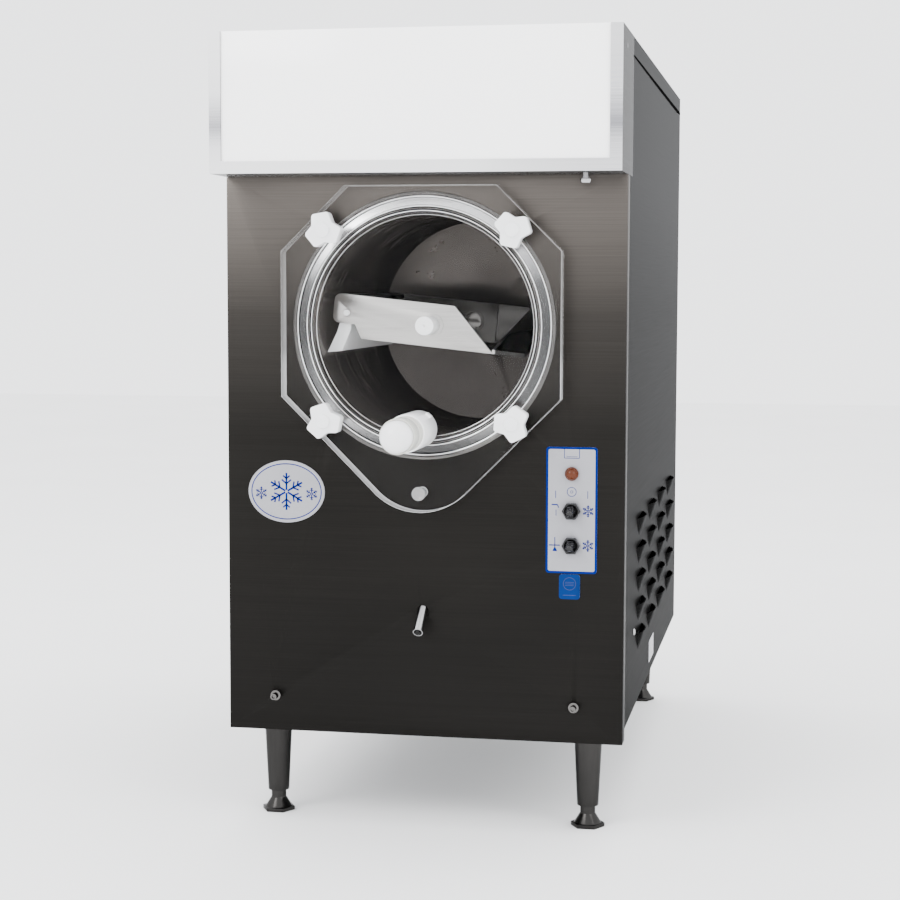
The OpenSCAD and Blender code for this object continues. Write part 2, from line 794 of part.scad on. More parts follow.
module scraper_blade() {
  y0 = front_bar_y + bar_t + gap;
  l = rear_bar_y - gap - y0;
  edge_r = barrel_r - scraper_gap;
  edge = [-edge_r * cos(20.5), -edge_r * sin(20.5)];
  color("white") on_dasher() {
    upright(y0, l) polygon([
      [scraper_pivot.x - 4.5, scraper_pivot.y + 5], [scraper_pivot.x + 4.5, scraper_pivot.y + 5],
      [scraper_pivot.x + 4.5, -14], [edge.x + 15, edge.y + 3], edge, [edge.x + 8, edge.y + 22]
    ]);
    rod_y(scraper_pivot.x, front_bar_y - 4, scraper_pivot.y, tang_r, l + 2 * bar_t + 6);
  }
}

module drive_shaft() {
  color("silver") placed() rod_y(0, rear_bar_y - 4, barrel_z, shaft_r, shaft_end - rear_bar_y + 4);
}

module shaft_seal() {
  color("black") placed()
    tube_y(0, barrel_d + rear_wall_t + gap, barrel_z, 16 - fit, shaft_r + fit, 12);
}

module gearbox() {
  w = gearbox_w / 2;
  h = gearbox_h / 2;
  color("slategray") placed() difference() {
    union() {
      box([-w, gearbox_y, barrel_z - h], [w, gearbox_y + gearbox_l, barrel_z + h]);
      rod_y(0, gearbox_y - 14, barrel_z, 30, 15);
      for (x = [-w, w]) for (z = [-h, h]) {
        rod_y(x * 0.86, gearbox_y - 4, barrel_z + z * 0.86, 6, 5);
      }
    }
    rod_y(0, gearbox_y - 20, barrel_z, shaft_r + fit, 82);
    rod_y(0, bulkhead_y - 26, barrel_z, input_r + fit, 40);
  }
}

// A flanged belt pulley with its own shaft, which starts at y0
module pulley(z, r, r_shaft, y0) {
  placed() {
    rod_y(0, pulley_y, z, r, pulley_t);
    for (y = [pulley_y, pulley_y + pulley_t - 1.6]) rod_y(0, y, z, r + belt_t + 2, 1.6);
    rod_y(0, pulley_y - 3, z, r_shaft + 7, 4);
    rod_y(0, y0, z, r_shaft, pulley_y + pulley_t + 5 - y0);
  }
}

module gearbox_pulley() {
  color("dimgray") pulley(barrel_z, big_pulley_r, input_r, bulkhead_y - 24);
}

module motor_pulley() {
  color("dimgray") pulley(motor_z, small_pulley_r, input_r, bulkhead_y - 24);
}

// Outline of a belt round both pulleys, out from their faces by off
module belt_outline(off) {
  lean = asin((big_pulley_r - small_pulley_r) / pulley_centres);
  n = [cos(lean), sin(lean)];
  big = big_pulley_r + off;
  small = small_pulley_r + off;
  circle(r = big);
  translate([0, -pulley_centres]) circle(r = small);
  polygon([
    [n.x * big, n.y * big], [-n.x * big, n.y * big],
    [-n.x * small, n.y * small - pulley_centres], [n.x * small, n.y * small - pulley_centres]
  ]);
}

module drive_belt() {
  color("black") placed() translate([0, 0, barrel_z]) upright(pulley_y + 2, pulley_t - 4) difference() {
    belt_outline(belt_t);
    belt_outline(gap);
  }
}

module drive_motor() {
  y0 = bulkhead_y - gap - motor_l;
  color("dimgray") placed() difference() {
    union() {
      rod_y(0, y0, motor_z, motor_r, motor_l);
      for (a = [0 : 30 : 330]) rotate_about(motor_z, a)
        box([-1.5, y0 + 8, motor_r - 2], [1.5, y0 + motor_l - 8, motor_r + 2]);
    }
    rod_y(0, bulkhead_y - 26, motor_z, input_r + fit, 40);
  }
}

module drive_bulkhead() {
  w = 150;
  low_z = floor_z + gap;
  high_z = barrel_z + gearbox_h / 2 + 20;
  color("silver") placed() difference() {
    union() {
      box([-w, bulkhead_y, low_z], [w, bulkhead_y + bulkhead_t, high_z]);
      box([-w, bulkhead_y, low_z], [w, bulkhead_y + 25, low_z + 2]);
      for (side = [-1, 1]) {
        box([side * (w - 1) - 1, bulkhead_y, low_z], [side * (w - 1) + 1, bulkhead_y + 20, high_z]);
      }
    }
    rod_y(0, bulkhead_y - 1, barrel_z, input_r + 8, 10);
    rod_y(0, bulkhead_y - 1, motor_z, input_r + 8, 10);
    box([-w + 20, bulkhead_y - 1, low_z + 25], [w - 20, bulkhead_y + 10, motor_z - motor_r - 18]);
  }
}

// ---- Cooling ----

module compressor() {
  z0 = floor_z + gap;
  round_r = 26;
  body_z = z0 + 14;
  foot = compressor_r * 0.78;
  color("black") placed() translate([compressor_x, compressor_y, 0]) {
    rotate_extrude() intersection() {
      union() {
        translate([0, body_z]) square([compressor_r, compressor_h - round_r]);
        translate([0, body_z]) square([compressor_r - round_r, compressor_h]);
        translate([compressor_r - round_r, body_z + compressor_h - round_r]) circle(r = round_r);
      }
      square([compressor_r, 600]);
    }
    translate([-foot, -foot, z0 + 10]) cube([2 * foot, 2 * foot, 4.5]);
    for (x = [-1, 1]) for (y = [-1, 1]) {
      translate([x * (foot - 10), y * (foot - 10), z0]) cylinder(r = 9, h = 11);
    }
    translate([0, 0, body_z + compressor_h * 0.45]) cylinder(r = compressor_r + 2, h = 5);
  }
}

module condenser() {
  w = condenser_w / 2;
  z0 = floor_z + gap;
  rows = 7;
  row_pitch = condenser_h / rows;
  fin_pitch = 8;
  fins = floor((condenser_w - 8) / fin_pitch);
  color("silver") placed() {
    for (side = [-1, 1])
      box([side * (w - 1) - 1, condenser_y, z0],
        [side * (w - 1) + 1, condenser_y + condenser_d, z0 + condenser_h]);
    for (i = [1 : fins - 1]) translate([-w + 4 + i * fin_pitch, condenser_y + 2, z0 + 3])
      cube([1, condenser_d - 4, condenser_h - 6]);
    for (row = [0 : rows - 1]) for (y = [0.3, 0.7]) {
      translate([-w - 6, condenser_y + condenser_d * y, z0 + (row + 0.5) * row_pitch]) rotate([0, 90, 0])
        cylinder(r = 4.5, h = condenser_w + 12, $fn = 24);
    }
  }
}

module fan_shroud() {
  w = condenser_w / 2;
  z0 = floor_z + gap;
  color("gray") placed() difference() {
    box([-w, shroud_y, z0], [w, shroud_y + shroud_l, z0 + condenser_h]);
    box([-w + shroud_t, shroud_y + shroud_t, z0 + shroud_t],
      [w - shroud_t, shroud_y + shroud_l + 1, z0 + condenser_h - shroud_t]);
    rod_y(0, shroud_y - 1, fan_z, fan_r + 4, 10);
  }
}

module fan_motor() {
  y1 = fan_y - 6;
  color("dimgray") placed() difference() {
    union() {
      rod_y(0, y1 - 56, fan_z, 36, 56);
      for (z = [-14, 14]) box([-condenser_w / 2 + 6, shroud_y - gap - 4, fan_z + z - 4],
        [condenser_w / 2 - 6, shroud_y - gap, fan_z + z + 4]);
    }
    rod_y(0, y1 - 20, fan_z, 4 + fit, 30);
  }
}

module fan_blade() {
  hub_r = 20;
  pitch = 32;
  color("silver") placed() translate([0, fan_y, fan_z]) {
    rod_y(0, 0, 0, hub_r, fan_depth);
    rod_y(0, -24, 0, 4, 26);
    intersection() {
      for (a = [0 : 72 : 359]) rotate([0, a, 0])
        translate([hub_r - 4, fan_depth / 2, 0]) rotate([pitch, 0, 0])
          translate([0, -0.8, -24]) cube([fan_r, 1.6, 48]);
      rod_y(0, -1, 0, fan_r, fan_depth + 2);
    }
  }
}

module refrigerant_lines() {
  r = 4;
  foam_x = -foam_half - gap - r;
  low_z = barrel_z - 62;
  comp_top = floor_z + gap + 14 + compressor_h;
  start_x = compressor_x - compressor_r - r - 2 - gap;
  suction_y = barrel_d - 88;
  outer_x = -inner_half_w + 16;
  cond_x = -condenser_w / 2 - 11;
  cond_mid = condenser_y + condenser_d / 2;
  color("peru") placed() {
    pipe([[foam_x, suction_y, low_z], [foam_x - 12, suction_y, low_z],
      [foam_x - 12, suction_y, comp_top + 14], [compressor_x, suction_y, comp_top + 14],
      [compressor_x, compressor_y + 10, comp_top + r + gap]], r);
    pipe([[start_x, compressor_y, floor_z + 150], [start_x, cond_mid - 26, floor_z + 152],
      [cond_x, cond_mid, floor_z + 156]], r - 1);
    pipe([[cond_x, cond_mid, floor_z + 30], [outer_x, cond_mid - 30, floor_z + 30],
      [outer_x, 120, floor_z + 30], [outer_x, 120, low_z], [foam_x, 120, low_z]], r - 1);
    translate([outer_x, 120, floor_z + 90]) cylinder(r = 10, h = 110);
    translate([outer_x, 120, low_z - 40]) cylinder(r = 9, h = 24);
  }
}

// ---- Controls and small details ----

module electrical_box() {
  low = [92, 34, floor_z + gap + 6];
  high = [172, 150, floor_z + 140];
  color("gainsboro") placed() {
    difference() {
      box(low, high);
      box(low + [1.2, 1.2, 1.2], high + [-1.2, -1.2, 1]);
    }
    box([low.x + 8, low.y + 8, low.z + 1], [low.x + 38, low.y + 44, low.z + 66]);
    translate([low.x + 56, low.y + 30, low.z + 1]) cylinder(r = 17, h = 86);
    box([low.x + 8, low.y + 60, low.z + 1], [high.x - 8, low.y + 84, low.z + 22]);
    for (x = [low.x + 14, high.x - 14]) translate([x, low.y + 100, floor_z + gap]) cylinder(r = 5, h = 7);
  }
}

module toggle_switches() {
  color("silver") placed() for (z = toggle_zs) difference() {
    union() {
      box([label_x - 10, sheet_t + gap, z - 13], [label_x + 10, 28, z + 13]);
      rod_y(label_x, -2, z, switch_r, 5);
      translate([label_x, -0.7, z]) rotate([90, 0, 0]) cylinder(r = 9.2, h = 6, $fn = 6);
    }
    rod_y(label_x, -8, z, ball_r + gap, 8 + ball_y + ball_r + gap);
  }
}

// A booted toggle lever at height z
module toggle(z) {
  color("black") placed() translate([label_x, ball_y, z]) {
    rotate([0, 90, 0]) cylinder(r = ball_r - 0.8, h = ball_r, center = true);
    rotate([90, 0, 0]) cylinder(r1 = 4.6, r2 = 2.8, h = 10);
    translate([0, -10, 0]) sphere(r = 3.4);
  }
}

module upper_toggle() { toggle(toggle_zs[0]); }
module lower_toggle() { toggle(toggle_zs[1]); }

module pilot_lamp() {
  color("orangered") placed() {
    rod_y(label_x, -1, lamp_z, 5, 24);
    rod_y(label_x, -2.6, lamp_z, 6.75, 2);
    intersection() {
      translate([label_x, -2.6, lamp_z]) sphere(r = 6);
      rod_y(label_x, -12, lamp_z, 8, 10);
    }
  }
}

module rounded_plate(w, h, r) {
  square([w - 2 * r, h], center = true);
  square([w, h - 2 * r], center = true);
  for (x = [-1, 1]) for (y = [-1, 1]) translate([x * (w / 2 - r), y * (h / 2 - r)]) circle(r = r);
}

module label_plates() {
  plate_t = 0.5;
  color("aliceblue") placed() {
    translate([label_x, 0, label_z]) upright(-plate_t - 0.01, plate_t) difference() {
      rounded_plate(label_w, label_h, 3);
      for (z = toggle_zs) translate([0, z - label_z]) circle(r = switch_r + gap);
      translate([0, lamp_z - label_z]) circle(r = 5 + gap);
    }
    translate([label_x - 1.5, 0, tag_z]) upright(-plate_t - 0.01, plate_t) rounded_plate(tag_w, tag_h, 3);
    translate([half_w + 0.01, 335, leg_gap + 37]) rotate([90, 0, 90]) linear_extrude(plate_t)
      rounded_plate(62, 25, 2);
  }
}

module name_badge() {
  half = [40, 31.75];
  color("aliceblue") placed() translate([badge_x, 0, badge_z]) upright(-1.21, 1.2)
    polygon([for (a = [0 : 5 : 355]) [half.x * cos(a), half.y * sin(a)]]);
}

module drip_tube() {
  out = 30;
  back = 40;
  knee = [0, back * cos(tube_angle), tube_z + back * sin(tube_angle)];
  color("silver") placed() difference() {
    union() {
      translate([0, 0, tube_z]) rotate([90 + tube_angle, 0, 0]) translate([0, 0, -back])
        cylinder(r = tube_r, h = out + back);
      pipe([knee, [0, barrel_d + 10, barrel_z - foam_half - 34]], tube_r);
    }
    translate([0, 0, tube_z]) rotate([90 + tube_angle, 0, 0]) translate([0, 0, -back])
      cylinder(r = tube_r - 0.8, h = out + back + 1);
  }
}

module tray_studs() {
  color("silver") placed() for (x = [-tray_x, tray_x]) difference() {
    union() {
      rod_y(x, -tray_out, tray_z, tray_r, tray_out + 8);
      rod_y(x, -1.6, tray_z, tray_r + 2, 1.59);
      translate([x, 6, tray_z]) rotate([90, 0, 0]) cylinder(r = 6, h = 4, $fn = 6);
    }
    translate([x, -tray_out + 3, tray_z]) rotate([90, 0, 0]) cylinder(r = 1.9, h = 5, $fn = 6);
  }
}

module cord_gland() {
  x = -half_w + 45;
  z = base_z + 285;
  color("black") placed() difference() {
    union() {
      rod_y(x, rear_y - 8, z, 8, 12);
      rod_y(x, body_d + 0.01, z, 13, 5);
      rod_y(x, body_d + 4, z, 9, gland_out - 4);
      translate([x, rear_y - gap, z]) rotate([90, 0, 0]) cylinder(r = 12, h = 5, $fn = 6);
    }
    rod_y(x, rear_y - 20, z, 4, 50);
  }
}

// ---- Legs ----

module legs() {
  color("silver") placed() for (p = leg_points()) translate([p.x, p.y, 0]) difference() {
    union() {
      translate([0, 0, leg_z]) cylinder(r1 = leg_low_r, r2 = leg_top_r, h = base_z - leg_z - 0.01);
      translate([0, 0, base_z - 1]) cylinder(r = stem_leg_r, h = 8);
    }
    translate([0, 0, leg_z - 1]) cylinder(r = foot_stem_r + fit, h = 50);
  }
}

// A levelling foot under a leg
module foot(p) {
  flange_h = 4;
  color("silver") placed() translate([p.x, p.y, 0]) {
    cylinder(r = foot_r, h = flange_h, $fn = 6);
    translate([0, 0, flange_h - 0.01]) cylinder(r1 = foot_r * 0.8, r2 = foot_stem_r, h = foot_h - flange_h);
    translate([0, 0, foot_h - 2]) cylinder(r = foot_stem_r, h = 40);
  }
}

module front_left_foot() { foot(leg_points()[0]); }
module front_right_foot() { foot(leg_points()[2]); }
module rear_left_foot() { foot(leg_points()[1]); }
module rear_right_foot() { foot(leg_points()[3]); }

base_pan();
frame_rails();
front_panel();
left_side_panel();
right_side_panel();
rear_panel();
top_cover();
header_housing();
sign_panel();
sign_lamp();
sign_switch_knob();
freezing_barrel();
evaporator_coil();
barrel_insulation();
mix_hopper();
hopper_lid();
faceplate();
faceplate_gasket();
faceplate_studs();
upper_left_knob();
upper_right_knob();
lower_left_knob();
lower_right_knob();
nose_plug();
valve_body();
valve_collar();
valve_plunger();
valve_spring();
dasher_frame();
dasher_bushing();
scraper_blade();
drive_shaft();
shaft_seal();
gearbox();
gearbox_pulley();
drive_belt();
drive_motor();
motor_pulley();
drive_bulkhead();
compressor();
condenser();
fan_shroud();
fan_motor();
fan_blade();
refrigerant_lines();
electrical_box();
toggle_switches();
upper_toggle();
lower_toggle();
pilot_lamp();
label_plates();
name_badge();
drip_tube();
tray_studs();
cord_gland();
legs();
front_left_foot();
front_right_foot();
rear_left_foot();
rear_right_foot();
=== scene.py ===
"""Looks of the counter-top frozen drink machine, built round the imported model."""
import math

import bmesh
import bpy
from mathutils import Matrix, Vector


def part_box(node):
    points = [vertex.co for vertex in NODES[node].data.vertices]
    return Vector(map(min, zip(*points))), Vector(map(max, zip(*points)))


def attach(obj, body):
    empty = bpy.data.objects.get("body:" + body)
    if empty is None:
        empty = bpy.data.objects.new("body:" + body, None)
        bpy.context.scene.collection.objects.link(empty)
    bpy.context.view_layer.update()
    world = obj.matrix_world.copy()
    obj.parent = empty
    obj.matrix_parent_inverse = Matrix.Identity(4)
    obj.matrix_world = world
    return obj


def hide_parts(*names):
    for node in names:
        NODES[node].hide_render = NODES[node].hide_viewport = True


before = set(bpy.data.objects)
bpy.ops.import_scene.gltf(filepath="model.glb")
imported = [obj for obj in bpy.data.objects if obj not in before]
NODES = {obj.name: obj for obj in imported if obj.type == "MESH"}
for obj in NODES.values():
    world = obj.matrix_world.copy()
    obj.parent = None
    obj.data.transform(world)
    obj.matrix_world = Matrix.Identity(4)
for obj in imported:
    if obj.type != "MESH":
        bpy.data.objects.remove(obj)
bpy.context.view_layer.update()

PANEL_LOW, PANEL_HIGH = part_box("front_panel")
FRONT_Y = PANEL_LOW.y
BARREL_LOW, BARREL_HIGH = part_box("freezing_barrel")
AXIS_Z = (BARREL_LOW.z + BARREL_HIGH.z) / 2
FACE_LOW, FACE_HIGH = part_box("faceplate")
HEADER_LOW, HEADER_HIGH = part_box("header_housing")
SIDE_LOW, SIDE_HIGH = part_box("right_side_panel")
CREASE, SHEET_CREASE = 32.0, 6.0  # degrees over which an edge stays sharp: castings, flat sheets
PRINT_T = 0.00008  # how thick a printed film is
LABEL_FACE = FRONT_Y - 0.00051 - PRINT_T  # where film on the front's plates lies
TAG_LOW, TAG_HIGH = (0.1385, 0.2415), (0.1595, 0.2665)  # the small tag's corners, x and z
BAR_TIP = 0.066  # the point of the dasher's front bar, beyond which its ramp blade shows
CONE_R = 0.128  # the coned edge of the barrel's mouth
RING_STEPS = 128


# ---- Camera and light ----

def make_camera():
    """A long lens, a little above the barrel and to the right of the machine."""
    yaw, pitch, roll = math.radians(-10.68), math.radians(4.88), math.radians(0.15)
    aim = Vector((math.sin(yaw) * math.cos(pitch), math.cos(yaw) * math.cos(pitch), -math.sin(pitch)))
    side = Vector((math.cos(yaw), -math.sin(yaw), 0.0))
    up = side.cross(aim)
    side_r = side * math.cos(roll) + up * math.sin(roll)
    up_r = up * math.cos(roll) - side * math.sin(roll)
    data = bpy.data.cameras.new("camera")
    data.lens = 77.36
    data.sensor_width = 36.0
    data.clip_start, data.clip_end = 0.05, 50.0
    camera = bpy.data.objects.new("camera", data)
    bpy.context.scene.collection.objects.link(camera)
    place = Vector((0.385, FRONT_Y - 1.895, PANEL_LOW.z + 0.457))
    camera.matrix_world = Matrix((
        (side_r.x, up_r.x, -aim.x, place.x),
        (side_r.y, up_r.y, -aim.y, place.y),
        (side_r.z, up_r.z, -aim.z, place.z),
        (0.0, 0.0, 0.0, 1.0),
    ))
    bpy.context.scene.camera = camera


def area_light(name, place, target, size, power, colour=(1.0, 1.0, 1.0)):
    data = bpy.data.lights.new(name, "AREA")
    data.shape = "RECTANGLE"
    data.size, data.size_y = size
    data.energy = power
    data.color = colour
    light = bpy.data.objects.new(name, data)
    bpy.context.scene.collection.objects.link(light)
    light.location = place
    light.rotation_euler = (Vector(target) - Vector(place)).to_track_quat("-Z", "Y").to_euler()


def make_world():
    world = bpy.data.worlds.new("studio")
    bpy.context.scene.world = world
    world.use_nodes = True
    background = world.node_tree.nodes["Background"]
    background.inputs["Color"].default_value = (0.97, 0.98, 1.0, 1.0)
    background.inputs["Strength"].default_value = 3.0


def make_lights():
    area_light("key", (-1.7, -2.4, 2.3), (0.0, 0.0, 0.5), (1.4, 1.4), 60)
    area_light("fill", (2.4, -1.8, 1.6), (0.0, 0.0, 0.4), (1.2, 1.8), 25)
    area_light("top", (0.0, 0.4, 2.6), (0.0, 0.0, 0.4), (2.0, 2.0), 40)


# ---- Materials ----

class Look:
    """A node material in the making: short calls for the nodes that the looks share."""

    def __init__(self, name):
        self.material = bpy.data.materials.new(name)
        self.material.use_nodes = True
        self.tree = self.material.node_tree
        self.shader = self.tree.nodes["Principled BSDF"]
        self.coords = self.tree.nodes.new("ShaderNodeTexCoord").outputs["Object"]
        self.heights = []

    def tint(self, level):
        """How much of the grazing reflection is kept."""
        self.shader.inputs["Specular Tint"].default_value = (level, level, level, 1.0)
        return self

    def faces_side(self):
        """1 where the surface looks to either side, 0 elsewhere."""
        geometry = self.tree.nodes.new("ShaderNodeNewGeometry")
        split = self.tree.nodes.new("ShaderNodeSeparateXYZ")
        self.tree.links.new(geometry.outputs["Normal"], split.inputs[0])
        size = self.tree.nodes.new("ShaderNodeMath")
        size.operation = "ABSOLUTE"
        self.tree.links.new(split.outputs[0], size.inputs[0])
        step = self.tree.nodes.new("ShaderNodeMapRange")
        step.inputs["From Min"].default_value = 0.7
        step.inputs["From Max"].default_value = 0.95
        self.tree.links.new(size.outputs[0], step.inputs["Value"])
        return step.outputs[0]

    def put(self, **values):
        """Constants on the shader's own sockets."""
        names = {"rough": "Roughness", "metal": "Metallic", "coat": "Coat Weight",
                 "coat_rough": "Coat Roughness",
                 "specular": "Specular IOR Level", "subsurface": "Subsurface Weight", "alpha": "Alpha",
                 "glow": "Emission Strength"}
        for key, value in values.items():
            self.shader.inputs[names[key]].default_value = value
        return self

    def scaled(self, scale):
        node = self.tree.nodes.new("ShaderNodeMapping")
        node.inputs["Scale"].default_value = scale
        self.tree.links.new(self.coords, node.inputs["Vector"])
        return node.outputs["Vector"]

    def noise(self, scale, stretch=(1, 1, 1), detail=3.0, rough=0.55):
        node = self.tree.nodes.new("ShaderNodeTexNoise")
        node.inputs["Scale"].default_value = scale
        node.inputs["Detail"].default_value = detail
        node.inputs["Roughness"].default_value = rough
        self.tree.links.new(self.scaled(stretch), node.inputs["Vector"])
        return node.outputs["Fac"]

    def height_of(self, axis, low, high):
        """0 at low to 1 at high along an axis of the machine."""
        split = self.tree.nodes.new("ShaderNodeSeparateXYZ")
        self.tree.links.new(self.coords, split.inputs[0])
        ramp = self.tree.nodes.new("ShaderNodeMapRange")
        ramp.interpolation_type = "SMOOTHSTEP"
        ramp.inputs["From Min"].default_value = low
        ramp.inputs["From Max"].default_value = high
        self.tree.links.new(split.outputs["XYZ".index(axis)], ramp.inputs["Value"])
        return ramp.outputs[0]

    def ramp(self, value, stops):
        node = self.tree.nodes.new("ShaderNodeValToRGB")
        while len(node.color_ramp.elements) < len(stops):
            node.color_ramp.elements.new(0.5)
        for element, (position, colour) in zip(node.color_ramp.elements, stops):
            element.position = position
            element.color = (*colour, 1.0)
        self.tree.links.new(value, node.inputs[0])
        return node.outputs[0]

    def mix(self, factor, a, b, blend="MIX"):
        node = self.tree.nodes.new("ShaderNodeMix")
        node.data_type = "RGBA"
        node.blend_type = blend
        for name, kind, value in (("Factor", "VALUE", factor), ("A", "RGBA", a), ("B", "RGBA", b)):
            socket = [s for s in node.inputs if s.name == name and s.type == kind][0]
            if isinstance(value, (int, float)):
                socket.default_value = value
            elif isinstance(value, tuple):
                socket.default_value = (*value, 1.0)
            else:
                self.tree.links.new(value, socket)
        return [s for s in node.outputs if s.type == "RGBA"][0]

    def colour(self, value):
        if isinstance(value, tuple):
            self.shader.inputs["Base Color"].default_value = (*value, 1.0)
        else:
            self.tree.links.new(value, self.shader.inputs["Base Color"])
        return self

    def roughness(self, value, low, high):
        ramp = self.tree.nodes.new("ShaderNodeMapRange")
        ramp.inputs["To Min"].default_value = low
        ramp.inputs["To Max"].default_value = high
        self.tree.links.new(value, ramp.inputs["Value"])
        self.tree.links.new(ramp.outputs[0], self.shader.inputs["Roughness"])
        return self

    def bump(self, value, distance, strength=1.0):
        node = self.tree.nodes.new("ShaderNodeBump")
        node.inputs["Distance"].default_value = distance
        node.inputs["Strength"].default_value = strength
        self.tree.links.new(value, node.inputs["Height"])
        if self.heights:
            self.tree.links.new(self.heights[-1], node.inputs["Normal"])
        self.heights.append(node.outputs["Normal"])
        self.tree.links.new(node.outputs["Normal"], self.shader.inputs["Normal"])
        return self


def grey(level):
    return (level, level, level)


def brushed(name, dark, light, rough=(0.28, 0.42), grain=(2, 2, 420), painted_light=None, metal=1.0, graze=1.0,
            side=None, share=0.75, painted_shade=None, beyond=None):
    """Brushed steel: fine lines across the grain over soft clouds.

    painted_light and painted_shade are (axis, low, high, stops): ramps of painted light and shade along an axis;
    painted_light is mixed in by share, painted_shade multiplies.
    beyond is (axis, low, high, colour): a painted shade for everything past a place; side is the colour of faces
    to either side, a painted shade.
    """
    look = Look(name)
    lines = look.noise(4.0, grain, detail=6.0, rough=0.7)
    clouds = look.noise(3.0, (1, 1, 1), detail=2.0)
    tone = look.ramp(clouds, [(0.3, dark), (0.75, light)])
    # Painted light and shade: a colour ramp along one axis of the piece.
    if painted_light:
        axis, low, high, stops = painted_light
        tone = look.mix(share, tone, look.ramp(look.height_of(axis, low, high), stops))
    # Painted shade: multiplies the colour darker along one axis.
    if painted_shade:
        axis, low, high, stops = painted_shade
        tone = look.mix(1.0, tone, look.ramp(look.height_of(axis, low, high), stops), "MULTIPLY")
    # Painted shade: a flat dark colour over everything past a place along one axis.
    if beyond:
        axis, low, high, colour = beyond
        tone = look.mix(look.height_of(axis, low, high), tone, colour)
    # Painted shade: faces that look to either side take the darker side colour.
    if side:
        lighter = tuple(c * 1.15 for c in side)
        tone = look.mix(look.faces_side(), tone, look.ramp(clouds, [(0.3, side), (0.7, lighter)]))
    tone = look.mix(0.10, tone, look.ramp(lines, [(0.35, grey(0.0)), (0.65, grey(1.0))]), "OVERLAY")
    look.colour(tone).put(metal=metal).tint(graze)
    look.roughness(lines, *rough)
    look.bump(lines, 0.00004, 0.35)
    return look.material


def plastic(name, colour, rough=0.3, speck=0.03, grain=900.0, depth=0.00003, coat=0.0, subsurface=0.0,
            specular=0.5, glow=0.0):
    """Moulded plastic: a slight mottle, a fine texture and duller patches."""
    look = Look(name)
    mottle = look.noise(60.0, detail=2.0)
    darker = tuple(c * (1.0 - 2.0 * speck) for c in colour)
    look.colour(look.ramp(mottle, [(0.3, darker), (0.7, colour)]))
    look.put(coat=coat, subsurface=subsurface, specular=specular, glow=glow)
    look.roughness(look.noise(25.0, detail=3.0), rough * 0.8, rough * 1.25)
    look.bump(look.noise(grain, detail=2.0), depth, 0.5)
    return look.material


def metal(name, colour, rough=0.2, mottle=0.15):
    """Plain turned or polished metal with faint handling marks."""
    look = Look(name)
    cloud = look.noise(45.0, detail=3.0)
    look.colour(look.ramp(cloud, [(0.3, tuple(c * (1 - mottle) for c in colour)), (0.7, colour)]))
    look.put(metal=1.0)
    look.roughness(look.noise(120.0, detail=3.0), rough * 0.7, rough * 1.4)
    look.bump(look.noise(700.0), 0.00002, 0.4)
    return look.material


def paint(name, colour, rough=0.4):
    """Sprayed enamel with orange peel."""
    look = Look(name)
    cloud = look.noise(12.0, detail=3.0)
    look.colour(look.ramp(cloud, [(0.3, tuple(c * 0.85 for c in colour)), (0.7, colour)]))
    look.put(coat=0.2)
    look.roughness(look.noise(40.0), rough * 0.8, rough * 1.2)
    look.bump(look.noise(350.0), 0.00006, 0.5)
    return look.material


def spangle(name, colour):
    """Galvanised sheet with zinc spangle."""
    look = Look(name)
    cells = look.tree.nodes.new("ShaderNodeTexVoronoi")
    cells.inputs["Scale"].default_value = 70.0
    look.tree.links.new(look.coords, cells.inputs["Vector"])
    look.colour(look.ramp(cells.outputs["Color"], [(0.1, tuple(c * 0.75 for c in colour)), (0.9, colour)]))
    look.put(metal=0.9)
    look.roughness(cells.outputs["Color"], 0.35, 0.6)
    look.bump(look.noise(200.0), 0.00003, 0.4)
    return look.material


def acrylic_face(name, share, colour=(0.9, 0.92, 0.93)):
    """Clear polished sheet: mostly open, with faint handling haze."""
    look = Look(name)
    haze = look.noise(26.0, detail=4.0)
    look.colour(look.ramp(haze, [(0.35, tuple(c * 0.9 for c in colour)), (0.7, colour)]))
    look.put(alpha=share, specular=0.5)
    look.roughness(look.noise(60.0, detail=4.0), 0.04, 0.14)
    return look.material


def acrylic_edge(name):
    """Saw-cut and flame-polished edge, with a painted highlight: light along its lower end, darker above."""
    look = Look(name)
    # Painted highlight: the edge is light below and darker above, by height.
    glow = look.height_of("Z", FACE_LOW.z, FACE_HIGH.z)
    look.colour(look.ramp(glow, [(0.0, (0.97, 0.97, 0.98)), (0.42, (0.94, 0.94, 0.95)), (0.5, grey(0.52)),
                                 (1.0, (0.46, 0.45, 0.44))]))
    look.put(alpha=0.72, specular=0.7, coat=0.5, coat_rough=0.05)
    look.roughness(look.noise(90.0, detail=4.0), 0.08, 0.3)
    look.bump(look.noise(300.0), 0.00004, 0.4)
    return look.material


